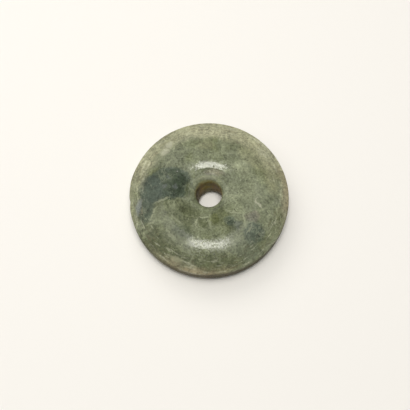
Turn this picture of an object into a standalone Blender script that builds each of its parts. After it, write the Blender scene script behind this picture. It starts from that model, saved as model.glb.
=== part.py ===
"""A perforated chalcedony disc, ground from one piece of stone, lying on its worn underside.

Both faces are domed like a flattened ring: each falls from a broad round crest to an
upright rim band outside, and to a shallow, nearly level floor round the bore inside. The
bore is drilled near the middle and leans. The frame is +Z up with the origin on the surface
that the disc lies on, below the middle of its outline. All sizes are in metres.
"""

import math

import bmesh
import bpy

# Outside sizes
DIAMETER = 0.0500
THICKNESS = 0.0112
RIM_HEIGHT = 0.0050

# The domed faces
CREST_DIAMETER = 0.0268
FLOOR_DIAMETER = 0.0178
DISH_DEPTH = 0.00055
FLOOR_FALL = 0.00042
REST_RING_WIDTH = 0.0026

# The drilled bore: the place of its middle, and how far and which way its lower mouth
# lies from its upper mouth
BORE_DIAMETER = 0.0079
BORE_X = 0.0004
BORE_Y = 0.0001
BORE_LEAN = 0.0022
BORE_LEAN_ANGLE = math.radians(-40)

# Edges rounded by grinding and wear
ARRIS_RADIUS = 0.0005
LIP_RADIUS = 0.0022

# Wear of the outline, each at its angle round the disc from +X
SWELL_HEIGHT = 0.00015
SWELL_LENGTH = 0.0060
SWELL_ANGLE = math.radians(167)
CHIP_DEPTH = 0.0003
CHIP_LENGTH = 0.0022
CHIP_ANGLE = math.radians(184)
WOBBLE = 0.00006
WOBBLE_LOBES = 2
WOBBLE_ANGLE = math.radians(0)

# Fineness of the mesh
STEPS_AROUND = 96
STEPS_ON_DISH = 5
STEPS_ON_SLOPE = 6
STEPS_ON_CORNER = 4

STONE_COLOUR = (0.205, 0.216, 0.140, 1.0)
STONE_ROUGHNESS = 0.3

RIM_RADIUS = DIAMETER / 2
CREST_RADIUS = CREST_DIAMETER / 2
FLOOR_RADIUS = FLOOR_DIAMETER / 2
BORE_RADIUS = BORE_DIAMETER / 2
HALF_THICKNESS = THICKNESS / 2


def clear_scene():
    """Remove the objects that a new scene starts with."""
    for thing in list(bpy.data.objects):
        bpy.data.objects.remove(thing, do_unlink=True)


def stone_material():
    """The stone: grey-green, with a dull polish."""
    material = bpy.data.materials.new("chalcedony")
    material.use_nodes = True
    shader = material.node_tree.nodes["Principled BSDF"]
    shader.inputs["Base Color"].default_value = STONE_COLOUR
    shader.inputs["Roughness"].default_value = STONE_ROUGHNESS
    shader.inputs["Metallic"].default_value = 0.0
    return material


def floor_slope():
    """How far the floor round the bore falls for each metre towards the bore."""
    return FLOOR_FALL / (FLOOR_RADIUS - BORE_RADIUS)


def rim_slope():
    """How far a face falls for each metre outwards where it meets the rim band."""
    return 2 * (HALF_THICKNESS - RIM_HEIGHT / 2) / (RIM_RADIUS - CREST_RADIUS)


def face_height(radius):
    """Height of a face above the middle plane.

    It falls from the crest as a parabola on both sides: outwards to the rim band, and
    inwards to the edge of the floor, which is a very flat cone.
    """
    if radius > CREST_RADIUS:
        fall = rim_slope() * (radius - CREST_RADIUS) ** 2 / (2 * (RIM_RADIUS - CREST_RADIUS))
    elif radius > FLOOR_RADIUS:
        fall = DISH_DEPTH * ((CREST_RADIUS - radius) / (CREST_RADIUS - FLOOR_RADIUS)) ** 2
    else:
        fall = DISH_DEPTH + floor_slope() * (FLOOR_RADIUS - radius)
    return HALF_THICKNESS - fall


def rounded_corner(corner_radius, side, slope, rounding):
    """Arc that rounds the corner of a face and an upright wall, from the face down.

    side is 1 where the wall faces outwards and -1 where it faces the bore. slope is
    the angle at which the face falls towards the wall.
    """
    centre_radius = corner_radius - side * rounding
    drop = rounding * (1 - math.sin(slope)) / math.cos(slope)
    centre_height = face_height(corner_radius) - drop
    arc = []
    for step in range(STEPS_ON_CORNER + 1):
        turn = slope + (math.pi / 2 - slope) * step / STEPS_ON_CORNER
        arc.append((centre_radius + side * rounding * math.sin(turn),
                    centre_height + rounding * math.cos(turn)))
    return arc


def upper_half():
    """Upper half of the section, from the bore to the rim, as (radius, height) points."""
    lip = rounded_corner(BORE_RADIUS, -1, math.atan(floor_slope()), LIP_RADIUS)[::-1]
    arris = rounded_corner(RIM_RADIUS, 1, math.atan(rim_slope()), ARRIS_RADIUS)
    half = list(lip)
    inner_crest = CREST_RADIUS - REST_RING_WIDTH / 2
    outer_crest = CREST_RADIUS + REST_RING_WIDTH / 2
    for step in range(STEPS_ON_DISH + 1):
        radius = FLOOR_RADIUS + (inner_crest - FLOOR_RADIUS) * step / STEPS_ON_DISH
        half.append((radius, face_height(radius)))
    half.append((CREST_RADIUS, HALF_THICKNESS))
    for step in range(STEPS_ON_SLOPE):
        radius = outer_crest + (arris[0][0] - outer_crest) * step / STEPS_ON_SLOPE
        half.append((radius, face_height(radius)))
    return half + arris


def section():
    """The whole closed section, standing on the surface, with the worn ring at its foot."""
    upper = [(radius, HALF_THICKNESS + height) for radius, height in upper_half()]
    lower = []
    for radius, height in reversed(upper_half()):
        on_rest_ring = abs(radius - CREST_RADIUS) < REST_RING_WIDTH / 2 + 1e-9
        lower.append((radius, 0.0 if on_rest_ring else HALF_THICKNESS - height))
    rim_middle = [(RIM_RADIUS, HALF_THICKNESS)]
    bore_middle = [(BORE_RADIUS, HALF_THICKNESS)]
    return upper + rim_middle + lower + bore_middle


def bump_along(angle, middle, length, radius):
    """A smooth bump of height 1 and the given length along the outline."""
    away = math.remainder(angle - middle, 2 * math.pi) * radius
    return math.exp(-(2 * away / length) ** 2)


def outline_change(angle):
    """How far the outline lies outside a true circle at an angle round the disc."""
    swell = SWELL_HEIGHT * bump_along(angle, SWELL_ANGLE, SWELL_LENGTH, RIM_RADIUS)
    chip = CHIP_DEPTH * bump_along(angle, CHIP_ANGLE, CHIP_LENGTH, RIM_RADIUS)
    wobble = WOBBLE * math.cos(WOBBLE_LOBES * (angle - WOBBLE_ANGLE))
    return wobble + swell - chip


def wear(point):
    """Move a point of the turned form: the outline's wear, and the bore's place and lean."""
    radius = math.hypot(point.x, point.y)
    angle = math.atan2(point.y, point.x)
    towards_rim = max(0.0, (radius - CREST_RADIUS) / (RIM_RADIUS - CREST_RADIUS))
    worn = radius + outline_change(angle) * towards_rim ** 2
    towards_bore = max(0.0, (FLOOR_RADIUS - radius) / (FLOOR_RADIUS - BORE_RADIUS))
    lean = BORE_LEAN * (0.5 - point.z / THICKNESS)
    bore_x = BORE_X + lean * math.cos(BORE_LEAN_ANGLE)
    bore_y = BORE_Y + lean * math.sin(BORE_LEAN_ANGLE)
    point.x = worn * math.cos(angle) + bore_x * towards_bore
    point.y = worn * math.sin(angle) + bore_y * towards_bore


def turned_mesh():
    """The section turned once round the upright axis, then worn."""
    form = bmesh.new()
    points = [form.verts.new((radius, 0.0, height)) for radius, height in section()]
    for point, following in zip(points, points[1:] + points[:1]):
        form.edges.new((point, following))
    bmesh.ops.spin(form, geom=form.verts[:] + form.edges[:], cent=(0, 0, 0), axis=(0, 0, 1),
                   angle=2 * math.pi, steps=STEPS_AROUND, use_merge=True)
    bmesh.ops.recalc_face_normals(form, faces=form.faces[:])
    for point in form.verts:
        wear(point.co)
    mesh = bpy.data.meshes.new("stone_disc")
    form.to_mesh(mesh)
    form.free()
    mesh.shade_smooth()
    return mesh


def centre_on_outline(mesh):
    """Bring the middle of the worn outline back over the origin."""
    across = [point.co.x for point in mesh.vertices]
    along = [point.co.y for point in mesh.vertices]
    middle_x = (min(across) + max(across)) / 2
    middle_y = (min(along) + max(along)) / 2
    for point in mesh.vertices:
        point.co.x -= middle_x
        point.co.y -= middle_y


def make_disc():
    """The disc, one solid."""
    mesh = turned_mesh()
    centre_on_outline(mesh)
    mesh.materials.append(stone_material())
    disc = bpy.data.objects.new("stone_disc", mesh)
    bpy.context.collection.objects.link(disc)
    return disc


def main():
    clear_scene()
    make_disc()


main()
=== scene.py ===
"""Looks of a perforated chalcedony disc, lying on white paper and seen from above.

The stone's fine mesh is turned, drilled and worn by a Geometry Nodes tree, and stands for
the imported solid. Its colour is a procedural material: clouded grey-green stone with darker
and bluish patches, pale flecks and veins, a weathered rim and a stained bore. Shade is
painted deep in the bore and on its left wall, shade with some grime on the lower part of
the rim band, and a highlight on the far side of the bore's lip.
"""

import math
from typing import NamedTuple

import bpy
from bpy.props import FloatProperty, FloatVectorProperty, IntProperty, PointerProperty
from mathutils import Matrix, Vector


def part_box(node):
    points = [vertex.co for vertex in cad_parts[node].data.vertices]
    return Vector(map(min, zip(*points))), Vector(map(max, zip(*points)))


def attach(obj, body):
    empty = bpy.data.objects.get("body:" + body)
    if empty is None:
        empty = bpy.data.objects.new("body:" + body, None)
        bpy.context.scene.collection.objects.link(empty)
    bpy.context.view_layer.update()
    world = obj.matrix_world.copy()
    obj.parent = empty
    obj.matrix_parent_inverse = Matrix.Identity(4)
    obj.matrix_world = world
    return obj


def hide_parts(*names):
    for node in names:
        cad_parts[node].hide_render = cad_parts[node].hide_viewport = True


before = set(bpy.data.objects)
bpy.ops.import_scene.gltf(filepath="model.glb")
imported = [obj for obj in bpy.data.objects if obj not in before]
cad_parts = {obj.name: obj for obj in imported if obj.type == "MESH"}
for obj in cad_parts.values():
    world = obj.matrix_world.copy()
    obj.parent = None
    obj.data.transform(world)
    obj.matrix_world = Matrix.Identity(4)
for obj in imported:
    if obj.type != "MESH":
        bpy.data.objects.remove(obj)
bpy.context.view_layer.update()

bl_info = {
    "name": "Chalcedony Disc",
    "version": (1, 0, 0),
    "blender": (4, 5, 0),
    "location": "3D View > Sidebar > Disc",
    "description": "Makes a worn, perforated chalcedony disc and the paper it lies on",
    "category": "Object",
}

DISC_LOW, DISC_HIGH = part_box("stone_disc")
MM_PER_M = 1000.0

# Ends of the stretches of the half section, as shares of its points
WALL_END = 0.10
LIP_END = 0.16
DISH_END = 0.47
SLOPE_END = 0.87
ARRIS_END = 0.92

SURFACE_SEED = 4.0
COLOUR_SEED = 11.0
NOISE_MIDDLE = 0.5

# Sizes of the relief's unevenness, in mm
WAVE_SIZE = 7.0
FACET_SIZE = 1.6
PIT_SIZE = 0.9
NICK_SIZE = 1.1
GROOVE_DRIFT_SIZE = 3.0

# Levels of a noise between which a mark grows from nothing to full
PIT_LEVELS = (0.70, 0.80)
NICK_LEVELS = (0.5, 0.75)

# Where nicks lie: in arris radii inside the rim, and in shares of half the rim band's height
NICK_REACH = (1.6, 0.3)
NICK_HEIGHTS = (0.45, 0.85)

# How far the drilling marks reach over the lip, in lip radii
GROOVE_REACH = 0.4

# Any radius does, as every point of the section is placed anew
LOOP_RADIUS = 0.2


def length_setting(name, description, value):
    """A length in metres that a property group holds."""
    return FloatProperty(name=name, description=description, unit="LENGTH", precision=6,
                         default=value)


def angle_setting(name, description, degrees):
    """An angle that a property group holds."""
    return FloatProperty(name=name, description=description, subtype="ANGLE",
                         default=math.radians(degrees))


def colour_setting(name, description, value):
    """A colour that a property group holds."""
    return FloatVectorProperty(name=name, description=description, subtype="COLOR", size=3,
                               min=0.0, max=1.0, default=value)


class DiscShape(bpy.types.PropertyGroup):
    """Sizes of the stone. The outside ones are read from the frame."""

    diameter: length_setting(
        "Diameter", "Across the outline, as a mean",
        (DISC_HIGH.x - DISC_LOW.x + DISC_HIGH.y - DISC_LOW.y) / 2)
    thickness: length_setting("Thickness", "From crest to crest", DISC_HIGH.z - DISC_LOW.z)
    rim_height: length_setting("Rim height", "Height of the upright band round the rim", 0.0050)
    crest_diameter: length_setting(
        "Crest diameter", "Across the highest ring of a face", 0.0268)
    floor_diameter: length_setting(
        "Floor diameter", "Across the nearly level floor round the bore", 0.0178)
    dish_depth: length_setting(
        "Dish depth", "How far a face falls from its crest to the floor", 0.00055)
    floor_fall: length_setting(
        "Floor fall", "How far the floor falls from its edge to the bore", 0.00042)
    bore_diameter: length_setting("Bore diameter", "Across the drilled hole", 0.0079)
    bore_x: length_setting("Bore X", "How far the bore's middle lies to +X", 0.0004)
    bore_y: length_setting("Bore Y", "How far the bore's middle lies to +Y", 0.0001)
    bore_lean: length_setting(
        "Bore lean", "How far the lower mouth lies from the upper", 0.0022)
    bore_lean_angle: angle_setting(
        "Bore lean angle", "Which way the lower mouth lies, round from +X", -40)
    arris_radius: length_setting(
        "Arris radius", "Rounding of the edges of the rim band", 0.0005)
    lip_radius: length_setting("Lip radius", "Rounding of the edges of the bore", 0.0022)
    swell_height: length_setting(
        "Swell height", "Height of the low swell on the outline", 0.00015)
    swell_length: length_setting(
        "Swell length", "Length of the swell along the outline", 0.0060)
    swell_angle: angle_setting("Swell angle", "Where the swell is, round from +X", 167)
    chip_depth: length_setting("Chip depth", "Depth of the chip in the outline", 0.0003)
    chip_length: length_setting("Chip length", "Length of the chip along the outline", 0.0022)
    chip_angle: angle_setting("Chip angle", "Where the chip is, round from +X", 184)
    wobble: length_setting("Wobble", "How far the outline is out of round", 0.00006)
    wobble_lobes: IntProperty(
        name="Wobble lobes", description="High places of the wobble in one turn", default=2)
    wobble_angle: angle_setting("Wobble angle", "Where one high place of the wobble is", 0)
    wave_depth: length_setting(
        "Wave depth", "Depth of the broad unevenness left by grinding", 0.000025)
    facet_depth: length_setting(
        "Facet depth", "Depth of the small unevenness left by polishing", 0.000012)
    pit_depth: length_setting("Pit depth", "Depth of the small pits", 0.00006)
    nick_depth: length_setting(
        "Nick depth", "Depth of the nicks along the rim's edges", 0.00005)
    groove_depth: length_setting(
        "Groove depth", "Depth of the drilling marks in the bore", 0.00004)
    groove_pitch: length_setting(
        "Groove pitch", "Height from one drilling mark to the next", 0.0009)
    rest_wear: length_setting("Rest wear", "Depth worn flat where the underside rests", 0.00004)
    steps_around: IntProperty(
        name="Steps around", description="Mesh points round the disc", default=480)
    steps_in_section: IntProperty(
        name="Steps in section", description="Mesh points round the section", default=200)


class StoneColours(bpy.types.PropertyGroup):
    """Colours of the stone's minerals, weathering and stains. Some also serve for the painted
    highlight of the lip and for painted shade.
    """

    body: colour_setting("Body", "Main grey-green of the stone", (0.150, 0.167, 0.098))
    grey_green: colour_setting("Grey green", "Smooth pale clouds", (0.195, 0.213, 0.140))
    olive: colour_setting("Olive", "Yellower green clouds", (0.110, 0.124, 0.048))
    dark_green: colour_setting("Dark green", "Dull green patches", (0.092, 0.104, 0.052))
    ink_green: colour_setting("Ink green", "The darkest patches", (0.035, 0.050, 0.029))
    moss: colour_setting("Moss", "Paler yellow-green clouds", (0.235, 0.240, 0.140))
    slate: colour_setting("Slate", "Bluish grey-green patches", (0.064, 0.084, 0.063))
    lilac: colour_setting("Lilac", "Cold grey streak by the rim", (0.175, 0.190, 0.185))
    warm_grey: colour_setting("Warm grey", "Brownish grey patches", (0.190, 0.178, 0.128))
    pale_green: colour_setting("Pale green", "Pale veins and flecks", (0.330, 0.350, 0.230))
    straw: colour_setting("Straw", "Pale weathering of the rim", (0.355, 0.350, 0.228))
    # This colour also paints the highlight on the far side of the bore's lip.
    chalk: colour_setting("Chalk", "Whitish blots", (0.430, 0.430, 0.320))
    tan: colour_setting("Tan", "Brownish weathering of the rim", (0.262, 0.220, 0.138))
    tan_shade: colour_setting("Tan shade", "Brown streaks of the rim", (0.140, 0.118, 0.072))
    ochre: colour_setting("Ochre", "Stain inside the bore", (0.270, 0.210, 0.035))
    rust: colour_setting("Rust", "Reddish stain inside the bore", (0.330, 0.200, 0.050))
    # This colour also paints shade, with some grime, on the lower part of the rim band.
    grime_and_shade: colour_setting("Grime", "Ground-in dirt of the rim band", (0.085, 0.070, 0.036))
    # This colour also paints shade deep in the bore and on its left wall.
    dirt_and_shade: colour_setting("Dirt", "Dark grains in the pits", (0.030, 0.032, 0.018))


class StudioSettings(bpy.types.PropertyGroup):
    """The camera's place and the strength of the lights."""

    camera_elevation: angle_setting(
        "Camera elevation", "Height of the view above the horizon", 73.5)
    camera_distance: length_setting(
        "Camera distance", "From the lens to the point looked at", 0.252)
    lens: FloatProperty(
        name="Lens", description="Focal length in mm on a 36 mm wide sensor", default=70.0)
    panel_strength: FloatProperty(
        name="Panel strength", description="Power of the light overhead", unit="POWER",
        default=2.65)
    fill_strength: FloatProperty(
        name="Fill strength", description="Power of the broad light overhead",
        unit="POWER", default=4.2)
    ceiling_strength: FloatProperty(
        name="Ceiling strength", description="Power of the light from the left above",
        unit="POWER", default=0.96)
    window_strength: FloatProperty(
        name="Window strength", description="Power of the soft light from the upper left",
        unit="POWER", default=1.21)
    sky_strength: FloatProperty(
        name="Sky strength", description="Strength of the even light of the room",
        default=0.11)


class Field:
    """A socket of a node tree. Arithmetic on it adds Math nodes to its tree."""

    def __init__(self, tree, socket):
        self.tree = tree
        self.socket = socket

    def node(self, kind, settings, sockets, output=0):
        """Add a node, set it up, feed its sockets, and give one of its outputs."""
        node = self.tree.nodes.new(kind)
        for name, value in settings.items():
            if name == "capture":
                node.capture_items.new(*value)
            else:
                setattr(node, name, value)
        for name, value in sockets.items():
            if isinstance(value, Field):
                self.tree.links.new(value.socket, node.inputs[name])
            else:
                node.inputs[name].default_value = value
        return Field(self.tree, node.outputs[output])

    def output(self, name):
        """Another output of the node that this socket belongs to."""
        return Field(self.tree, self.socket.node.outputs[name])

    def math(self, operation, *values):
        """One Math node, with this socket as its first value."""
        sockets = dict(enumerate((self,) + values))
        return self.node("ShaderNodeMath", {"operation": operation}, sockets)

    def __add__(self, other):
        return self.math("ADD", other)

    __radd__ = __add__

    def __sub__(self, other):
        return self.math("SUBTRACT", other)

    def __rsub__(self, other):
        return self.node("ShaderNodeMath", {"operation": "SUBTRACT"}, {0: other, 1: self})

    def __mul__(self, other):
        return self.math("MULTIPLY", other)

    __rmul__ = __mul__

    def __truediv__(self, other):
        return self.math("DIVIDE", other)

    def __pow__(self, other):
        return self.math("POWER", other)

    def ramp(self, low, high):
        """0 below low and 1 above high, with a smooth rise; high may be the lower one."""
        return self.node("ShaderNodeMapRange", {"interpolation_type": "SMOOTHSTEP"},
                         {"Value": self, "From Min": low, "From Max": high})

    def vector(self, operation, *values, **named):
        """One Vector Math node, with this socket as its first vector."""
        sockets = dict(enumerate((self,) + values))
        sockets.update(named)
        return self.node("ShaderNodeVectorMath", {"operation": operation}, sockets)

    def noise(self, size, seed, detail=2.0, roughness=0.5, distortion=0.0, output=0):
        """Cloudy noise on this position, about 0 to 1, with blotches of about a size."""
        return self.node("ShaderNodeTexNoise", {"noise_dimensions": "4D"},
                         {"Vector": self, "W": seed, "Scale": 1 / size, "Detail": detail,
                          "Roughness": roughness, "Distortion": distortion}, output)


def split(position):
    """The X, Y and Z of a position."""
    parts = position.node("ShaderNodeSeparateXYZ", {}, {0: position}, "X")
    return parts, parts.output("Y"), parts.output("Z")


def blend(factor, below, above):
    """Colour above laid over colour below. Each is a field or a colour setting."""
    below, above = (colour if isinstance(colour, Field) else (*colour, 1.0)
                    for colour in (below, above))
    return factor.node("ShaderNodeMix", {"data_type": "RGBA"},
                       {0: factor, 6: below, 7: above}, 2)


def own_properties(group):
    """The settings that a property group declares, in order."""
    return [group.bl_rna.properties[key] for key in type(group).__annotations__]


def pits(position_mm):
    """1 inside the scattered small pits of the surface, 0 elsewhere."""
    return position_mm.noise(PIT_SIZE, SURFACE_SEED, detail=1.0).ramp(*PIT_LEVELS)


# The stone's form


def floor_slope(size):
    """How far the floor round the bore falls for each metre towards the bore."""
    return size["Floor fall"] * 2 / (size["Floor diameter"] - size["Bore diameter"])


def rim_slope(size):
    """How far a face falls for each metre outwards where it meets the rim band."""
    fall = size["Thickness"] - size["Rim height"]
    return fall * 2 / (size["Diameter"] - size["Crest diameter"])


def face_height(size, radius):
    """Height of a face above the middle plane.

    It falls from the crest as a parabola on both sides: outwards to the rim band, and
    inwards to the edge of the floor, which is a very flat cone.
    """
    crest = size["Crest diameter"] / 2
    floor = size["Floor diameter"] / 2
    rim = size["Diameter"] / 2
    outside = (radius - crest).math("MAXIMUM", 0.0)
    inside = ((crest - radius) / (crest - floor)).math("MAXIMUM", 0.0).math("MINIMUM", 1.0)
    on_floor = (floor - radius).math("MAXIMUM", 0.0)
    outer_fall = rim_slope(size) * outside * outside / (rim - crest) / 2
    inner_fall = size["Dish depth"] * inside ** 2 + floor_slope(size) * on_floor
    return size["Thickness"] / 2 - outer_fall - inner_fall


def corner(size, wall_radius, side, slope, rounding, progress):
    """Point on the arc between a face and an upright wall.

    progress runs from 0 at the wall to 1 at the face. side is 1 where the wall faces
    outwards and -1 where it faces the bore.
    """
    drop = rounding * (1 - slope.math("SINE")) / slope.math("COSINE")
    centre_height = face_height(size, wall_radius) - drop
    turn = math.pi / 2 - (math.pi / 2 - slope) * progress
    radius = wall_radius - side * rounding * (1 - turn.math("SINE"))
    return radius, centre_height + rounding * turn.math("COSINE")


def section_point(size, place):
    """Radius and height of a place on the closed section.

    place runs from 0 at the middle of the bore wall, over the upper face, to 0.5 at the
    middle of the rim, and back under the lower face to 1.
    """
    half = 1 - (2 * place - 1).math("ABSOLUTE")
    side = (0.5 - place).math("SIGN")

    def stretch(start, end):
        return ((half - start) / (end - start)).math("MAXIMUM", 0.0).math("MINIMUM", 1.0)

    crest = size["Crest diameter"] / 2
    bore = size["Bore diameter"] / 2
    rim = size["Diameter"] / 2
    floor_angle = floor_slope(size).math("ARCTANGENT")
    slope_angle = rim_slope(size).math("ARCTANGENT")

    on_wall = stretch(0.0, WALL_END)
    on_lip = stretch(WALL_END, LIP_END)
    on_dish = stretch(LIP_END, DISH_END)
    on_slope = stretch(DISH_END, SLOPE_END)
    on_arris = stretch(SLOPE_END, ARRIS_END)
    on_rim = stretch(ARRIS_END, 1.0)

    lip_radius, lip_height = corner(size, bore, -1, floor_angle, size["Lip radius"], on_lip)
    lip_start = corner(size, bore, -1, floor_angle, size["Lip radius"], 0.0)[1]
    lip_end = corner(size, bore, -1, floor_angle, size["Lip radius"], 1.0)[0]
    arris = size["Arris radius"]
    off_arris = 1 - on_arris
    arris_radius, arris_height = corner(size, rim, 1, slope_angle, arris, off_arris)
    arris_start, arris_top = corner(size, rim, 1, slope_angle, arris, 1.0)

    face_radius = lip_end + (crest - lip_end) * on_dish + (arris_start - crest) * on_slope
    face = face_height(size, face_radius)
    face_start = face_height(size, lip_end)
    radius = (lip_radius + (crest - lip_end) * on_dish + (arris_start - crest) * on_slope
              + (arris_radius - arris_start))
    rise = (lip_start * on_wall + (lip_height - lip_start) + (face - face_start)
            + (arris_height - arris_top))
    return radius, size["Thickness"] / 2 + side * rise * (1 - on_rim)


def bump_along(size, angle, middle, length):
    """A smooth bump of height 1 and a given length along the outline."""
    turn = (angle - middle).math("WRAP", math.pi, -math.pi)
    away = 2 * turn * size["Diameter"] / 2 / length
    return (0 - away * away).math("EXPONENT")


def worn_position(size, radius, angle, height):
    """The place of a turned point after the outline's wear and the bore's place and lean."""
    crest = size["Crest diameter"] / 2
    floor = size["Floor diameter"] / 2
    bore = size["Bore diameter"] / 2
    rim = size["Diameter"] / 2
    lobes = ((angle - size["Wobble angle"]) * size["Wobble lobes"]).math("COSINE")
    swell = bump_along(size, angle, size["Swell angle"], size["Swell length"])
    chip = bump_along(size, angle, size["Chip angle"], size["Chip length"])
    change = (size["Wobble"] * lobes + size["Swell height"] * swell
              - size["Chip depth"] * chip)
    towards_rim = ((radius - crest) / (rim - crest)).math("MAXIMUM", 0.0)
    towards_bore = ((floor - radius) / (floor - bore)).math("MAXIMUM", 0.0)
    worn = radius + change * towards_rim ** 2
    lean = size["Bore lean"] * (0.5 - height / size["Thickness"])
    lean_angle = size["Bore lean angle"]
    bore_x = size["Bore X"] + lean * lean_angle.math("COSINE")
    bore_y = size["Bore Y"] + lean * lean_angle.math("SINE")
    return radius.node("ShaderNodeCombineXYZ", {}, {
        "X": worn * angle.math("COSINE") + bore_x * towards_bore,
        "Y": worn * angle.math("SINE") + bore_y * towards_bore,
        "Z": height})


def off_bore_axis(x, y, share_of_height, bore_x, bore_y, lean_x, lean_y):
    """Distance of a point from the leaning axis of the bore."""
    lean = 0.5 - share_of_height
    across = x - bore_x - lean_x * lean
    along = y - bore_y - lean_y * lean
    return (across * across + along * along).math("SQRT")


def relief_depth(size, position):
    """How far the worn surface lies inside the smooth form, all over the stone."""
    position_mm = position.vector("SCALE", Scale=MM_PER_M)
    x, y, z = split(position)
    radius = (x * x + y * y).math("SQRT")
    half_thickness = size["Thickness"] / 2
    waves = position_mm.noise(WAVE_SIZE, SURFACE_SEED + 1)
    facets = position_mm.noise(FACET_SIZE, SURFACE_SEED + 2, detail=1.0)
    near_rim = radius.ramp(size["Diameter"] / 2 - NICK_REACH[0] * size["Arris radius"],
                           size["Diameter"] / 2 - NICK_REACH[1] * size["Arris radius"])
    off_middle = (z - half_thickness).math("ABSOLUTE") / (size["Rim height"] / 2)
    on_arris = near_rim * off_middle.ramp(*NICK_HEIGHTS)
    nicks = position_mm.noise(NICK_SIZE, SURFACE_SEED + 3, detail=1.0).ramp(*NICK_LEVELS)
    lean_angle = size["Bore lean angle"]
    off_axis = off_bore_axis(
        x, y, z / size["Thickness"], size["Bore X"], size["Bore Y"],
        size["Bore lean"] * lean_angle.math("COSINE"),
        size["Bore lean"] * lean_angle.math("SINE"))
    in_bore = off_axis.ramp(size["Bore diameter"] / 2 + GROOVE_REACH * size["Lip radius"],
                            size["Bore diameter"] / 2)
    drift = position_mm.noise(GROOVE_DRIFT_SIZE, SURFACE_SEED + 4)
    turns = (z / size["Groove pitch"] + drift) * (2 * math.pi)
    grooves = 0.5 + 0.5 * turns.math("SINE")
    return (size["Wave depth"] * waves + size["Facet depth"] * facets
            + size["Pit depth"] * pits(position_mm) + size["Nick depth"] * on_arris * nicks
            + size["Groove depth"] * in_bore * grooves)


def stone_form_tree(shape, material):
    """Geometry Nodes tree that turns, drills and wears the disc."""
    tree = bpy.data.node_groups.new("turned stone disc", "GeometryNodeTree")
    for prop in own_properties(shape):
        kind = "NodeSocketInt" if prop.type == "INT" else "NodeSocketFloat"
        tree.interface.new_socket(prop.name, in_out="INPUT", socket_type=kind)
    tree.interface.new_socket("Geometry", in_out="OUTPUT", socket_type="NodeSocketGeometry")
    group_input = tree.nodes.new("NodeGroupInput")
    size = {prop.name: Field(tree, group_input.outputs[prop.name])
            for prop in own_properties(shape)}

    steps_around = size["Steps around"]
    steps_in_section = size["Steps in section"]
    index = steps_around.node("GeometryNodeInputIndex", {}, {})
    circle = steps_around.node(
        "GeometryNodeCurvePrimitiveCircle", {}, {"Resolution": steps_around})
    turned = steps_around.node(
        "GeometryNodeCaptureAttribute", {"capture": ("FLOAT", "Angle")},
        {"Geometry": circle, "Angle": index / steps_around * (2 * math.pi)})
    loop = steps_around.node(
        "GeometryNodeCurvePrimitiveCircle", {},
        {"Resolution": steps_in_section, "Radius": LOOP_RADIUS})
    section = steps_around.node(
        "GeometryNodeCaptureAttribute", {"capture": ("FLOAT", "Place")},
        {"Geometry": loop, "Place": index / steps_in_section})
    ring = steps_around.node(
        "GeometryNodeCurveToMesh", {}, {"Curve": turned, "Profile Curve": section})
    angle = turned.output("Angle")
    radius, height = section_point(size, section.output("Place"))
    formed = ring.node("GeometryNodeSetPosition", {}, {
        "Geometry": ring, "Position": worn_position(size, radius, angle, height)})

    position = ring.node("GeometryNodeInputPosition", {}, {})
    normal = ring.node("GeometryNodeInputNormal", {}, {})
    depth = relief_depth(size, position)
    inwards = normal.vector("SCALE", Scale=0 - depth)
    worn = ring.node("GeometryNodeSetPosition", {}, {"Geometry": formed, "Offset": inwards})

    x, y, z = split(position)
    share_below = (1 - z / (size["Thickness"] / 2)).math("MAXIMUM", 0.0)
    rested = (z - size["Rest wear"] * share_below).math("MAXIMUM", 0.0)
    flattened = ring.node("GeometryNodeSetPosition", {}, {
        "Geometry": worn,
        "Position": ring.node("ShaderNodeCombineXYZ", {}, {"X": x, "Y": y, "Z": rested})})

    box = ring.node("GeometryNodeBoundBox", {}, {"Geometry": flattened}, "Min")
    middle = box.vector("ADD", box.output("Max")).vector("MULTIPLY", (-0.5, -0.5, 0.0))
    centred = ring.node("GeometryNodeSetPosition", {}, {
        "Geometry": flattened, "Offset": middle})

    smooth = ring.node("GeometryNodeSetShadeSmooth", {}, {"Geometry": centred})
    real = ring.node("GeometryNodeRealizeInstances", {}, {"Geometry": smooth})
    finished = ring.node("GeometryNodeSetMaterial", {}, {
        "Geometry": real, "Material": material})
    group_output = tree.nodes.new("NodeGroupOutput")
    tree.links.new(finished.socket, group_output.inputs["Geometry"])
    return tree


def mesh_from_tree(name, tree, settings):
    """Run a Geometry Nodes tree with a property group's values, and keep its mesh."""
    empty_mesh = bpy.data.meshes.new(name + " start")
    carrier = bpy.data.objects.new(name + " start", empty_mesh)
    bpy.context.scene.collection.objects.link(carrier)
    modifier = carrier.modifiers.new("form", "NODES")
    modifier.node_group = tree
    values = {prop.name: getattr(settings, prop.identifier)
              for prop in own_properties(settings)}
    for item in tree.interface.items_tree:
        if item.in_out == "INPUT":
            modifier[item.identifier] = values[item.name]
    evaluated = carrier.evaluated_get(bpy.context.evaluated_depsgraph_get())
    mesh = bpy.data.meshes.new_from_object(evaluated)
    mesh.name = name
    bpy.data.objects.remove(carrier)
    return mesh


# The stone's material

# Sizes of the clouds, flecks and grains of the finish, in mm
HUE_SIZE = 8.0
BROAD_WARP_SIZE = 4.5
FINE_WARP_SIZE = 1.1
RIM_PATCH_SIZE = 3.2
TONE_CLOUD_SIZE = 5.0
MOTTLE_SIZE = 2.6
GRAIN_SIZE = 0.62
CROWD_SIZE = 6.0
WISP_SIZE = 5.5
FLECK_SIZE = 0.62
DARK_GRAIN_SIZE = 0.75
STAIN_PATCH_SIZE = 1.6
DULL_GRAIN_SIZE = 0.62
RIPPLE_SIZE = 0.8

# Height of the polish's ripples, in metres
RIPPLE_HEIGHT = 0.000028

# How far a noise pushes the edges of patches, of the rim's wear, and of the bore's stains,
# painted shade and painted highlight, in mm
BROAD_WARP = 2.6
FINE_WARP = 2.0
RIM_RAGGEDNESS = 5.0
STAIN_RAGGEDNESS = 1.0
RUST_RAGGEDNESS = 3.0

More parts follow.
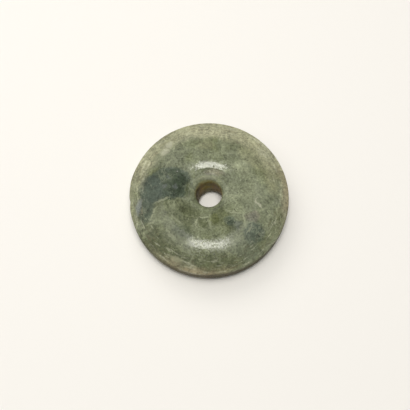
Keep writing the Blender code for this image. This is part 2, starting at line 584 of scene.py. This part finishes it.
# Levels of a noise between which a mark grows from nothing to full
GREY_LEVELS = (0.42, 0.62)
OLIVE_LEVELS = (0.48, 0.30)
PALE_STREAK_LEVELS = (0.52, 0.66)
BROWN_STREAK_LEVELS = (0.46, 0.34)
WISP_CROWD_LEVELS = (0.38, 0.62)
FLECK_CROWD_LEVELS = (0.30, 0.60)
FLECK_LEVELS = (0.60, 0.72)
DARK_GRAIN_LEVELS = (0.36, 0.24)
DULL_GRAIN_LEVELS = (0.47, 0.63)

# How far a noise strays from its middle across a wisp
WISP_REACH = 0.030

# Radii from the stone's middle between which a zone begins, in mm
OUTER_SLOPE = (13.5, 15.5)
DULL_RIM = (17.5, 22.5)
STREAKED_RIM = (18.0, 22.0)
RIM_BAND = (24.3, 24.7)

# Width over which the rim's wear fades inwards, in mm
RIM_WEAR_FADE = 3.5

# Distances from the bore's leaning axis between which a zone begins, in mm
DULL_BORE = (6.6, 5.4)
# The painted highlight on the far side of the lip lies between these two distances
LIP_HIGHLIGHT_INSIDE = (4.2, 4.8)
LIP_HIGHLIGHT_OUTSIDE = (5.9, 5.3)
LIP_FRINGE = (4.65, 4.25)
BORE_STAIN_AND_SHADE = (4.25, 3.95)

# Places along X, Y and Z between which stains, painted shade and the painted lip highlight
# begin, in mm
LIP_HIGHLIGHT_SIDE = (4.2, 5.6)
LIP_FRINGE_SIDE = (-1.5, 1.0)
OCHRE_MIDDLE = -0.4
OCHRE_EDGE = (0.8, 2.2)
# Painted shade: the bore darkens towards its bottom
BORE_DEPTH_SHADE = (6.0, 2.8)
BORE_MOUTH = (6.0, 7.2)
# Painted shade on the bore's left wall, which faces away from the light
BORE_LEFT_SHADE_SIDE = (-2.0, -3.8)
# Painted shade with some grime: the rim band darkens on its lower part, but not on the left,
# where the light comes from
BAND_GRIME_AND_SHADE_HEIGHTS = (7.6, 6.2)
BAND_GRIME_AND_SHADE_SIDE = (-19.0, -7.0)

# How strongly each part of the colour shows
OLIVE_STRENGTH = 0.6
TONE_CLOUD_STRENGTH = 0.5
MOTTLE_STRENGTH = 1.9
GRAIN_STRENGTH = 1.3
PALE_STREAK_STRENGTH = 0.45
BROWN_STREAK_STRENGTH = 0.50
WISP_LIGHT = 0.32
FLECK_LIGHT = 0.50
WISP_TINT = 0.22
FLECK_TINT = 0.20
DARK_GRAIN_STRENGTH = 0.40
# Strengths below include the painted lip highlight and the painted shade of the bore and the
# rim band
LIP_HIGHLIGHT_STRENGTH = 0.30
LIP_FRINGE_STRENGTH = 0.35
BORE_DEPTH_SHADE_STRENGTH = 0.70
BORE_MOUTH_STRENGTH = 0.40
BORE_LEFT_SHADE_STRENGTH = 0.7
BORE_STAIN_AND_SHADE_STRENGTH = 0.94
BAND_GRIME_AND_SHADE_STRENGTH = 0.8
PIT_DIRT_STRENGTH = 0.8

# Roughness of the clearest polish, and what each part of the surface adds to it
POLISH_ROUGHNESS = 0.10
DULL_GRAIN_ROUGHNESS = 0.15
RIM_ROUGHNESS = 0.24
OUTER_SLOPE_ROUGHNESS = 0.30
BAND_ROUGHNESS = 0.45
BORE_ROUGHNESS = 0.50

# Sines towards -Y between which the outer slope turns clearer, and its loss of dullness
CLEAR_SIDE = (0.86, 0.97)
CLEAR_SIDE_SHARE = 0.85

# The rim's streaks are a noise on a circle this large, that rises this much for each mm out
STREAK_CIRCLE = 6.0
STREAK_RISE = 1.5


class Cloud(NamedTuple):
    """A patch of one mineral: its colour, middle and size in mm, and turn in degrees.

    core is the share of its size that has the full colour.
    """
    name: str
    mineral: str
    x: float
    y: float
    length: float
    width: float
    turn: float
    strength: float
    core: float


# Height that patches lie at, and depth over which they fade, in mm
PATCH_HEIGHT = 10.0
PATCH_HALF_DEPTH = 15.0

CLOUDS = (
    Cloud("upper field", "olive", 2.0, 15.5, 30.0, 9.0, 0, 0.20, 0.2),
    Cloud("upper right field", "moss", 14.0, 12.0, 15.0, 8.0, -42, 0.66, 0.3),
    Cloud("upper far right field", "moss", 19.0, 5.5, 5.5, 14.0, 12, 0.75, 0.3),
    Cloud("upper edge", "straw", -1.0, 21.5, 11.0, 8.0, 0, 0.55, 0.2),
    Cloud("upper right edge", "moss", 7.0, 19.0, 8.0, 6.0, -20, 0.60, 0.3),
    Cloud("upper middle streak", "moss", -1.5, 16.3, 8.0, 4.5, 0, 0.55, 0.2),
    Cloud("pale of the upper right", "pale_green", 10.0, 8.5, 9.0, 6.5, -35, 0.42, 0.2),
    Cloud("grey beyond the inner slope", "grey_green", -0.5, 12.8, 13.0, 5.0, 0, 0.65, 0.3),
    Cloud("right middle field", "grey_green", 11.0, 1.0, 20.0, 15.0, -10, 0.75, 0.3),
    Cloud("pale of the right middle", "pale_green", 13.2, 1.0, 7.0, 8.0, 0, 0.12, 0.2),
    Cloud("field right of the bore", "grey_green", 6.2, 6.2, 8.0, 4.8, -40, 0.75, 0.3),
    Cloud("left bottom field", "dark_green", -17.0, -14.5, 16.0, 9.0, -42, 0.8, 0.3),
    Cloud("bottom field", "dark_green", 1.0, -20.5, 26.0, 6.0, 0, 0.8, 0.3),
    Cloud("lower left cloud", "grey_green", -13.5, -8.5, 12.0, 9.0, -35, 0.15, 0.3),
    Cloud("grey of the lower middle", "grey_green", -3.0, -13.5, 19.0, 4.5, -4, 0.35, 0.3),
    Cloud("warm grey above the bore", "warm_grey", 1.5, 7.3, 8.5, 3.0, -8, 0.7, 0.4),
    Cloud("olive fringe of the ink", "olive", -16.0, 7.0, 7.0, 4.0, 10, 0.7, 0.4),
    Cloud("ink patch, outer", "slate", -12.0, 3.7, 15.2, 11.2, -8, 0.80, 0.8),
    Cloud("ink patch, upper", "ink_green", -12.0, 5.1, 11.0, 6.6, 0, 0.42, 0.5),
    Cloud("ink patch, inner", "ink_green", -8.8, 3.2, 7.0, 7.6, 10, 0.70, 0.5),
    Cloud("ink patch, lower", "ink_green", -10.8, 0.6, 5.0, 4.0, 0, 0.6, 0.4),
    Cloud("slate patch", "slate", -18.0, 1.5, 9.0, 10.5, 10, 0.95, 0.7),
    Cloud("slate tail", "slate", -19.3, -5.0, 6.0, 11.0, -8, 0.85, 0.4),
    Cloud("slate foot", "slate", -13.0, -0.8, 7.5, 4.0, 0, 0.75, 0.4),
    Cloud("dark left of the bore", "dark_green", -6.3, 1.8, 3.6, 7.0, 0, 0.65, 0.4),
    Cloud("dark of the upper left edge", "body", -17.6, 12.4, 4.5, 4.0, 0, 0.6, 0.3),
    Cloud("dark above the ink", "dark_green", -12.5, 12.0, 8.0, 3.4, -10, 0.25, 0.3),
    Cloud("dark of the upper middle", "olive", -6.0, 12.0, 4.0, 4.0, 0, 0.3, 0.3),
    Cloud("dark right of the inner slope", "dark_green", 9.6, 11.3, 6.5, 3.6, -10, 0.38, 0.3),
    Cloud("dark crescent", "dark_green", -7.5, -4.5, 5.0, 9.0, 32, 0.6, 0.3),
    Cloud("dark under the bore", "dark_green", -4.8, -6.0, 8.0, 5.0, -15, 0.75, 0.4),
    Cloud("dark strip of the lower left", "dark_green", -6.6, -9.5, 4.0, 9.0, 8, 0.55, 0.3),
    Cloud("olive eye", "olive", 1.6, -8.0, 4.6, 4.4, 0, 0.85, 0.3),
    Cloud("dark eye", "slate", 6.2, -8.6, 4.6, 5.0, 10, 0.80, 0.4),
    Cloud("slate eye", "slate", 8.6, -10.0, 4.8, 4.5, -20, 0.38, 0.4),
    Cloud("bluish eye", "lilac", 8.8, -9.6, 3.6, 3.2, -20, 0.30, 0.4),
    Cloud("grey of the lower right", "warm_grey", 13.3, -7.2, 6.0, 4.4, 0, 0.85, 0.5),
    Cloud("cold grey of the lower right", "slate", 13.0, -7.6, 6.0, 4.0, 0, 0.30, 0.4),
    Cloud("slate of the lower right", "slate", 13.8, -12.3, 7.0, 8.5, -30, 0.82, 0.5),
    Cloud("slate of the lower right edge", "slate", 10.5, -18.0, 13.0, 7.5, 15, 0.45, 0.4),
    Cloud("dark of the lower right", "dark_green", 9.5, -18.5, 12.0, 7.0, 12, 0.45, 0.4),
    Cloud("dark of the near edge", "dark_green", 3.5, -21.8, 19.0, 7.0, 8, 1.0, 0.5),
    Cloud("dark of the lower left", "dark_green", -10.0, -18.6, 12.0, 6.5, -22, 0.85, 0.3),
    Cloud("pale of the lower left edge", "grey_green", -18.0, -12.0, 5.0, 5.0, 0, 0.45, 0.3),
    Cloud("olive of the right edge", "olive", 22.0, -6.0, 4.0, 7.0, 10, 0.5, 0.3),
    Cloud("dark of the right rim", "dark_green", 20.3, -9.2, 5.0, 9.0, -20, 0.7, 0.3),
    Cloud("grey of the lower left", "slate", -8.2, -12.0, 9.0, 5.0, -15, 0.50, 0.4),
    Cloud("dark ring", "dark_green", -1.7, -9.2, 3.4, 3.8, 0, 0.8, 0.5),
    Cloud("dark of the top", "olive", 2.4, 19.2, 3.6, 4.2, 0, 0.60, 0.3),
    Cloud("dark of the top right", "olive", 6.6, 15.2, 4.0, 3.0, -20, 0.25, 0.3),
    Cloud("dark of the right", "dark_green", 15.0, 7.0, 5.0, 3.4, -25, 0.4, 0.3),
    Cloud("shade of the lower left", "dark_green", -9.0, -11.5, 27.0, 22.0, -45, 0.42, 0.4),
    Cloud("dark of the upper left", "olive", -6.0, 17.0, 8.0, 4.0, 0, 0.35, 0.3),
)


class Vein(NamedTuple):
    """A wisp or blot in the stone: its colour, middle and size in mm, and turn in degrees."""
    mineral: str
    x: float
    y: float
    length: float
    width: float
    turn: float
    strength: float


# Share of a vein's size that has the full colour
VEIN_CORE = 0.2

VEINS = (
    Vein("pale_green", -14.5, -2.0, 7.0, 1.0, 18, 0.52),
    Vein("lilac", -21.7, -4.0, 7.5, 2.6, 84, 0.80),
    Vein("lilac", -13.2, 2.6, 2.8, 1.2, 60, 0.40),
    Vein("lilac", -10.6, 2.0, 2.4, 1.2, 75, 0.40),
    Vein("lilac", -12.4, 5.4, 2.0, 1.0, -40, 0.30),
    Vein("body", -16.8, 12.6, 4.6, 2.8, 42, 0.50),
    Vein("pale_green", -17.0, -6.0, 6.0, 0.9, 62, 0.6),
    Vein("pale_green", -17.8, -9.0, 4.5, 0.9, 35, 0.5),
    Vein("pale_green", -10.5, -8.0, 6.5, 1.1, -48, 0.42),
    Vein("pale_green", -12.0, -13.0, 6.0, 1.0, -50, 0.42),
    Vein("pale_green", -3.6, -9.2, 5.0, 0.9, 80, 0.55),
    Vein("pale_green", -1.6, -7.0, 3.6, 0.8, 8, 0.55),
    Vein("pale_green", 0.1, -9.4, 4.4, 0.8, -78, 0.42),
    Vein("pale_green", 7.2, -5.4, 6.0, 0.9, -14, 0.60),
    Vein("pale_green", 10.8, -7.8, 4.6, 1.1, -70, 0.68),
    Vein("pale_green", 12.3, -11.5, 4.6, 0.8, 68, 0.45),
    Vein("chalk", 15.3, -3.7, 4.6, 1.0, -44, 0.6),
    Vein("chalk", 14.5, -2.2, 2.8, 0.9, 65, 0.5),
    Vein("pale_green", 12.0, 7.2, 5.0, 0.9, -38, 0.4),
    Vein("pale_green", 7.0, 9.6, 4.0, 0.9, -30, 0.45),
    Vein("chalk", -14.4, 14.2, 4.6, 3.0, 40, 0.68),
    Vein("chalk", -12.6, 17.0, 4.0, 3.0, 60, 0.65),
    Vein("pale_green", -5.0, -20.0, 5.0, 1.0, 60, 0.35),
    Vein("pale_green", 5.0, -19.0, 4.0, 0.9, -50, 0.3),
    Vein("straw", -10.0, -20.3, 4.5, 2.0, -20, 0.55),
    Vein("pale_green", 18.5, -8.0, 6.0, 0.7, 75, 0.35),
    Vein("pale_green", 21.5, -4.0, 5.0, 0.7, 85, 0.4),
)


class RimWear(NamedTuple):
    """Weathering along the rim: its colour, its middle round from +X and its reach to each
    side in degrees, its inner edge in mm, and its strength.
    """
    mineral: str
    angle: float
    spread: float
    inner_radius: float
    strength: float


RIM_WEAR = (
    RimWear("straw", 90, 75, 18.0, 0.98),
    RimWear("straw", 152, 34, 19.1, 0.86),
    RimWear("straw", 185, 30, 22.0, 0.45),
    RimWear("straw", 45, 45, 18.5, 0.65),
    RimWear("straw", 5, 46, 21.5, 0.35),
    RimWear("tan", 3, 34, 21.3, 0.75),
    RimWear("tan", 258, 43, 21.8, 1.0),
    RimWear("straw", 222, 20, 23.0, 0.3),
)


def warped(position_mm):
    """Position pushed about, so that the edges of patches feather like mineral clouds."""
    broad = position_mm.noise(BROAD_WARP_SIZE, COLOUR_SEED + 1, detail=2.0, output=1)
    fine = position_mm.noise(
        FINE_WARP_SIZE, COLOUR_SEED + 2, detail=3.0, roughness=0.65, output=1)
    middle = (NOISE_MIDDLE,) * 3
    broad_push = broad.vector("SUBTRACT", middle).vector("SCALE", Scale=BROAD_WARP)
    fine_push = fine.vector("SUBTRACT", middle).vector("SCALE", Scale=FINE_WARP)
    return position_mm.vector("ADD", broad_push).vector("ADD", fine_push)


def patch_mask(place, patch, core):
    """A patch's strength in its middle, falling to 0 at its edge.

    place is the X and Y of a position and its squared share of the patches' depth. Plain
    numbers are used here because a long shader with many vectors turns black in Cycles.
    """
    x, y, depth = place
    turn = math.radians(patch.turn)
    along_x, along_y = 2 * math.cos(turn) / patch.length, 2 * math.sin(turn) / patch.length
    across_x, across_y = -2 * math.sin(turn) / patch.width, 2 * math.cos(turn) / patch.width
    along = x.math("MULTIPLY_ADD", along_x, -patch.x * along_x - patch.y * along_y)
    along = y.math("MULTIPLY_ADD", along_y, along)
    across = x.math("MULTIPLY_ADD", across_x, -patch.x * across_x - patch.y * across_y)
    across = y.math("MULTIPLY_ADD", across_y, across)
    away = along.math("MULTIPLY_ADD", along, depth)
    away = across.math("MULTIPLY_ADD", across, away)
    return away.node("ShaderNodeMapRange", {"interpolation_type": "SMOOTHSTEP"},
                     {"Value": away, "From Min": 1.0, "From Max": core * core,
                      "To Max": patch.strength})


def patch_place(position_mm):
    """What patch_mask takes: X, Y and the squared share of the patches' depth."""
    x, y, z = split(position_mm)
    share = (z - PATCH_HEIGHT) / PATCH_HALF_DEPTH
    return x, y, share * share


def clouded(position_mm, colours):
    """The stone's minerals as a smooth field of colour."""
    hue = position_mm.noise(HUE_SIZE, COLOUR_SEED + 3, detail=3.0)
    colour = blend(hue.ramp(*GREY_LEVELS), colours.body, colours.grey_green)
    colour = blend(OLIVE_STRENGTH * hue.ramp(*OLIVE_LEVELS), colour, colours.olive)
    place = patch_place(position_mm)
    for cloud in CLOUDS:
        mask = patch_mask(place, cloud, cloud.core)
        colour = blend(mask, colour, getattr(colours, cloud.mineral))
        colour.socket.node.label = cloud.name
    return colour


def rim_worn(colour, position_mm, radius, angle, colours):
    """Colour with the pale and tan weathering of the rim laid over it."""
    patchy = position_mm.noise(RIM_PATCH_SIZE, COLOUR_SEED + 4, detail=5.0, roughness=0.6)
    ragged_radius = radius + RIM_RAGGEDNESS * (patchy - NOISE_MIDDLE)
    for wear in RIM_WEAR:
        turn = (angle - math.radians(wear.angle)).math("WRAP", math.pi, -math.pi)
        along = turn.math("ABSOLUTE").ramp(math.radians(wear.spread), 0.0)
        inwards = ragged_radius.ramp(wear.inner_radius, wear.inner_radius + RIM_WEAR_FADE)
        mask = wear.strength * along * inwards
        colour = blend(mask, colour, getattr(colours, wear.mineral))
    return colour


def mottled(colour, position_mm):
    """Colour made lighter and darker in clouds, curled mottles and grains."""
    clouds = position_mm.noise(TONE_CLOUD_SIZE, COLOUR_SEED + 5, detail=3.0, roughness=0.55)
    mottles = position_mm.noise(
        MOTTLE_SIZE, COLOUR_SEED + 6, detail=5.0, roughness=0.7, distortion=1.2)
    grains = position_mm.noise(GRAIN_SIZE, COLOUR_SEED + 7, detail=1.0, roughness=0.6)
    tone = (1 + TONE_CLOUD_STRENGTH * (clouds - NOISE_MIDDLE)
            + MOTTLE_STRENGTH * (mottles - NOISE_MIDDLE)
            + GRAIN_STRENGTH * (grains - NOISE_MIDDLE))
    return colour.vector("SCALE", Scale=tone)


def streaked(colour, position_mm, radius, colours):
    """Colour with fine pale and brownish streaks that run along the rim."""
    x, y = split(position_mm)[:2]
    along = radius.node("ShaderNodeCombineXYZ", {}, {
        "X": STREAK_CIRCLE * x / radius, "Y": STREAK_CIRCLE * y / radius,
        "Z": STREAK_RISE * radius})
    streaks = along.noise(1.0, COLOUR_SEED + 16, detail=3.0, roughness=0.6)
    near_rim = radius.ramp(*STREAKED_RIM)
    pale = PALE_STREAK_STRENGTH * near_rim * streaks.ramp(*PALE_STREAK_LEVELS)
    colour = blend(pale, colour, colours.chalk)
    brown = BROWN_STREAK_STRENGTH * near_rim * streaks.ramp(*BROWN_STREAK_LEVELS)
    return blend(brown, colour, colours.tan_shade)


def veined(colour, position_mm, warped_mm, colours):
    """Colour with pale veins, wisps and flecks in it, and dark grains."""
    place = patch_place(warped_mm)
    for vein in VEINS:
        mask = patch_mask(place, vein, VEIN_CORE)
        colour = blend(mask, colour, getattr(colours, vein.mineral))
    crowding = position_mm.noise(CROWD_SIZE, COLOUR_SEED + 8, detail=2.0)
    lines = warped_mm.noise(WISP_SIZE, COLOUR_SEED + 9, detail=4.0, roughness=0.6)
    thin = (lines - NOISE_MIDDLE).math("ABSOLUTE").ramp(WISP_REACH, 0.0)
    wisps = thin * crowding.ramp(*WISP_CROWD_LEVELS)
    specks = position_mm.noise(FLECK_SIZE, COLOUR_SEED + 10, detail=2.0, roughness=0.7)
    flecks = specks.ramp(*FLECK_LEVELS) * crowding.ramp(*FLECK_CROWD_LEVELS)
    colour = colour.vector("SCALE", Scale=1 + WISP_LIGHT * wisps + FLECK_LIGHT * flecks)
    tint = WISP_TINT * wisps + FLECK_TINT * flecks
    colour = blend(tint, colour, colours.pale_green)
    grains = position_mm.noise(DARK_GRAIN_SIZE, COLOUR_SEED + 12, detail=2.0, roughness=0.7)
    dark = DARK_GRAIN_STRENGTH * grains.ramp(*DARK_GRAIN_LEVELS)
    return blend(dark, colour, colours.dirt_and_shade)


def bore_stains_and_painted_light(colour, position_mm, off_axis, colours):
    """Colour with the stains of the bore and the ochre fringe of its lip, painted shade deep in
    the bore and on its left wall, and a painted highlight as a pale arc on the far side of the
    lip.
    """
    x, y, z = split(position_mm)
    patchy = position_mm.noise(STAIN_PATCH_SIZE, COLOUR_SEED + 13, detail=4.0, roughness=0.65)
    ragged = off_axis + STAIN_RAGGEDNESS * (patchy - NOISE_MIDDLE)
    # Painted highlight: a pale arc on the far side of the lip, where its polish would mirror
    # the light
    across_lip_highlight = ragged.ramp(*LIP_HIGHLIGHT_INSIDE) * ragged.ramp(*LIP_HIGHLIGHT_OUTSIDE)
    arc = LIP_HIGHLIGHT_STRENGTH * (across_lip_highlight * y.ramp(*LIP_HIGHLIGHT_SIDE))
    colour = blend(arc, colour, colours.chalk)
    fringe = LIP_FRINGE_STRENGTH * (ragged.ramp(*LIP_FRINGE) * y.ramp(*LIP_FRINGE_SIDE))
    colour = blend(fringe, colour, colours.ochre)

    off_ochre = (x - OCHRE_MIDDLE).math("ABSOLUTE")
    rusty = off_ochre + RUST_RAGGEDNESS * (patchy - NOISE_MIDDLE)
    stain = blend(rusty.ramp(*OCHRE_EDGE), colours.ochre, colours.rust)
    # Painted shade, darker towards the bottom of the bore
    stain = blend(BORE_DEPTH_SHADE_STRENGTH * z.ramp(*BORE_DEPTH_SHADE), stain, colours.dirt_and_shade)
    stain = blend(BORE_MOUTH_STRENGTH * z.ramp(*BORE_MOUTH), stain, colours.grime_and_shade)
    # Painted shade on the bore's left wall, which faces away from the light
    stain = blend(BORE_LEFT_SHADE_STRENGTH * x.ramp(*BORE_LEFT_SHADE_SIDE), stain, colours.dirt_and_shade)
    # The stain laid over the bore carries this painted shade as well as the real stains
    return blend(BORE_STAIN_AND_SHADE_STRENGTH * ragged.ramp(*BORE_STAIN_AND_SHADE), colour, stain)


def stone_roughness(position_mm, y, radius, off_axis, on_band):
    """A clear polish with dull grains, duller towards the rim and in the bore.

    The -Y side of the outer slope keeps more of its polish than the rest of the slope.
    """
    dulling = position_mm.noise(DULL_GRAIN_SIZE, COLOUR_SEED + 15, detail=1.5, roughness=0.6)
    clear_side = (0 - y / radius).ramp(*CLEAR_SIDE)
    dull_slope = (1 - CLEAR_SIDE_SHARE * clear_side) * radius.ramp(*OUTER_SLOPE)
    return (POLISH_ROUGHNESS + DULL_GRAIN_ROUGHNESS * dulling.ramp(*DULL_GRAIN_LEVELS)
            + RIM_ROUGHNESS * radius.ramp(*DULL_RIM) + OUTER_SLOPE_ROUGHNESS * dull_slope
            + BAND_ROUGHNESS * on_band + BORE_ROUGHNESS * off_axis.ramp(*DULL_BORE))


def stone_material(shape, colours):
    """Clouded grey-green chalcedony, polished, with a weathered rim and a stained bore, shade
    painted in the bore and on the rim band, and a highlight painted on the bore's lip.
    """
    material = bpy.data.materials.new("chalcedony")
    material.use_nodes = True
    tree = material.node_tree
    shader = tree.nodes["Principled BSDF"]
    coordinates = tree.nodes.new("ShaderNodeTexCoord")
    position_m = Field(tree, coordinates.outputs["Object"])
    position_mm = position_m.vector("SCALE", Scale=MM_PER_M)
    x, y, z = split(position_mm)
    radius = (x * x + y * y).math("SQRT")
    angle = y.math("ARCTAN2", x)
    warped_mm = warped(position_mm)
    thickness = shape.thickness * MM_PER_M
    lean = shape.bore_lean * MM_PER_M
    off_axis = off_bore_axis(
        x, y, z / thickness, shape.bore_x * MM_PER_M, shape.bore_y * MM_PER_M,
        lean * math.cos(shape.bore_lean_angle), lean * math.sin(shape.bore_lean_angle))
    on_band = radius.ramp(*RIM_BAND)

    colour = clouded(warped_mm, colours)
    colour = rim_worn(colour, position_mm, radius, angle, colours)
    colour = streaked(colour, position_mm, radius, colours)
    colour = mottled(colour, position_mm)
    colour = veined(colour, position_mm, warped_mm, colours)
    colour = bore_stains_and_painted_light(colour, position_mm, off_axis, colours)
    # Painted shade with some grime: the lower part of the rim band is darkened, except on the
    # left, which faces the light
    band_grime_and_shade = on_band * z.ramp(*BAND_GRIME_AND_SHADE_HEIGHTS) * x.ramp(*BAND_GRIME_AND_SHADE_SIDE)
    colour = blend(BAND_GRIME_AND_SHADE_STRENGTH * band_grime_and_shade, colour, colours.grime_and_shade)
    colour = blend(PIT_DIRT_STRENGTH * pits(position_mm), colour, colours.dirt_and_shade)
    tree.links.new(colour.socket, shader.inputs["Base Color"])

    rough = stone_roughness(position_mm, y, radius, off_axis, on_band)
    tree.links.new(rough.socket, shader.inputs["Roughness"])

    ripples = position_mm.noise(RIPPLE_SIZE, SURFACE_SEED + 7, detail=1.5)
    bump = ripples.node("ShaderNodeBump", {}, {
        "Height": ripples, "Strength": 1.0, "Distance": RIPPLE_HEIGHT}, "Normal")
    tree.links.new(bump.socket, shader.inputs["Normal"])
    return material


class DISC_OT_make_stone(bpy.types.Operator):
    """Make the turned, drilled and worn stone"""

    bl_idname = "disc.make_stone"
    bl_label = "Stone disc"

    def execute(self, context):
        scene = context.scene
        material = stone_material(scene.disc_shape, scene.stone_colours)
        tree = stone_form_tree(scene.disc_shape, material)
        mesh = mesh_from_tree("stone", tree, scene.disc_shape)
        stone = bpy.data.objects.new("stone", mesh)
        scene.collection.objects.link(stone)
        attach(stone, "root")
        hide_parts("stone_disc")
        return {"FINISHED"}


# The stage

PAPER_REACH = 2.0
PAPER_COLOUR = (0.86, 0.84, 0.81, 1.0)
PAPER_ROUGHNESS = 0.9
ROOM_COLOUR = (1.0, 0.985, 0.965, 1.0)

# The point that the camera looks at, from the middle of the disc
LOOKED_AT = Vector((-0.00128, -0.00195, 0.0))
SENSOR_WIDTH = 36.0
NEAREST_SEEN = 0.01


class SoftLight(NamedTuple):
    """A rectangular light: the setting of its power, its size and place in metres, its
    colour, and whether polish mirrors it.
    """
    name: str
    setting: str
    width: float
    depth: float
    place: tuple
    colour: tuple
    shows_in_gloss: bool


SOFT_LIGHTS = (
    SoftLight("overhead panel", "panel_strength", 0.30, 0.21,
              (0.0, -0.045, 1.0), (1.0, 0.985, 0.92), True),
    SoftLight("overhead fill", "fill_strength", 0.40, 0.40,
              (0.0, 0.0, 1.0), (1.0, 0.99, 0.965), False),
    SoftLight("ceiling", "ceiling_strength", 0.60, 0.60,
              (-0.16, 0.13, 0.40), (1.0, 0.98, 0.94), False),
    SoftLight("window", "window_strength", 0.70, 0.50,
              (-0.20, 0.60, 0.60), (1.0, 0.98, 0.95), False),
)


def aim(thing, place, target):
    """Put a camera or light at a place, looking at a target."""
    thing.location = place
    thing.rotation_euler = (target - place).to_track_quat("-Z", "Y").to_euler()


def paper_material():
    """Slightly warm white paper."""
    material = bpy.data.materials.new("paper")
    material.use_nodes = True
    shader = material.node_tree.nodes["Principled BSDF"]
    shader.inputs["Base Color"].default_value = PAPER_COLOUR
    shader.inputs["Roughness"].default_value = PAPER_ROUGHNESS
    return material


def lay_paper(scene):
    """A wide sheet of white paper under the disc."""
    corners = [(-PAPER_REACH, -PAPER_REACH, 0), (PAPER_REACH, -PAPER_REACH, 0),
               (PAPER_REACH, PAPER_REACH, 0), (-PAPER_REACH, PAPER_REACH, 0)]
    mesh = bpy.data.meshes.new("paper")
    mesh.from_pydata(corners, [], [(0, 1, 2, 3)])
    mesh.materials.append(paper_material())
    paper = bpy.data.objects.new("paper", mesh)
    scene.collection.objects.link(paper)


def place_camera(scene, studio, disc_middle):
    """The camera, in front of the disc and high above it."""
    camera = bpy.data.cameras.new("camera")
    camera.lens = studio.lens
    camera.sensor_width = SENSOR_WIDTH
    camera.clip_start = NEAREST_SEEN
    viewer = bpy.data.objects.new("camera", camera)
    scene.collection.objects.link(viewer)
    looked_at = disc_middle + LOOKED_AT
    back = Vector((0.0, -math.cos(studio.camera_elevation), math.sin(studio.camera_elevation)))
    aim(viewer, looked_at + studio.camera_distance * back, looked_at)
    scene.camera = viewer


def soft_light(scene, kind, power, target):
    """One of the rectangular lights, aimed at a point."""
    light = bpy.data.lights.new(kind.name, "AREA")
    light.shape = "RECTANGLE"
    light.size = kind.width
    light.size_y = kind.depth
    light.energy = power
    light.color = kind.colour
    lamp = bpy.data.objects.new(kind.name, light)
    scene.collection.objects.link(lamp)
    aim(lamp, Vector(kind.place), target)
    lamp.visible_glossy = kind.shows_in_gloss


def fill_room(scene, studio):
    """The even light of the room, from all sides."""
    world = bpy.data.worlds.new("room")
    world.use_nodes = True
    sky = world.node_tree.nodes["Background"]
    sky.inputs["Color"].default_value = ROOM_COLOUR
    sky.inputs["Strength"].default_value = studio.sky_strength
    scene.world = world


class DISC_OT_build_stage(bpy.types.Operator):
    """Lay the paper, and set up the camera and the lights"""

    bl_idname = "disc.build_stage"
    bl_label = "Stage"

    def execute(self, context):
        scene = context.scene
        studio = scene.studio_settings
        disc_middle = Vector((0.0, 0.0, (DISC_LOW.z + DISC_HIGH.z) / 2))
        lay_paper(scene)
        place_camera(scene, studio, disc_middle)
        for kind in SOFT_LIGHTS:
            soft_light(scene, kind, getattr(studio, kind.setting), disc_middle)
        fill_room(scene, studio)
        scene.view_settings.view_transform = "Standard"
        return {"FINISHED"}


class DISC_PT_tools(bpy.types.Panel):
    """Sidebar panel with the disc's settings and operators"""

    bl_idname = "DISC_PT_tools"
    bl_label = "Chalcedony disc"
    bl_space_type = "VIEW_3D"
    bl_region_type = "UI"
    bl_category = "Disc"

    def draw(self, context):
        column = self.layout.column()
        for group in (context.scene.disc_shape, context.scene.stone_colours,
                      context.scene.studio_settings):
            for prop in own_properties(group):
                column.prop(group, prop.identifier)
            column.separator()
        column.operator(DISC_OT_make_stone.bl_idname)
        column.operator(DISC_OT_build_stage.bl_idname)


CLASSES = (DiscShape, StoneColours, StudioSettings, DISC_OT_make_stone,
           DISC_OT_build_stage, DISC_PT_tools)


def register():
    """Add the settings, operators and panel to Blender."""
    for item in CLASSES:
        bpy.utils.register_class(item)
    bpy.types.Scene.disc_shape = PointerProperty(type=DiscShape)
    bpy.types.Scene.stone_colours = PointerProperty(type=StoneColours)
    bpy.types.Scene.studio_settings = PointerProperty(type=StudioSettings)


def unregister():
    """Take them out again."""
    del bpy.types.Scene.studio_settings
    del bpy.types.Scene.stone_colours
    del bpy.types.Scene.disc_shape
    for item in reversed(CLASSES):
        bpy.utils.unregister_class(item)


def main():
    """Make the disc and the stage."""
    register()
    bpy.ops.disc.make_stone()
    bpy.ops.disc.build_stage()


if __name__ == "__main__":
    main()
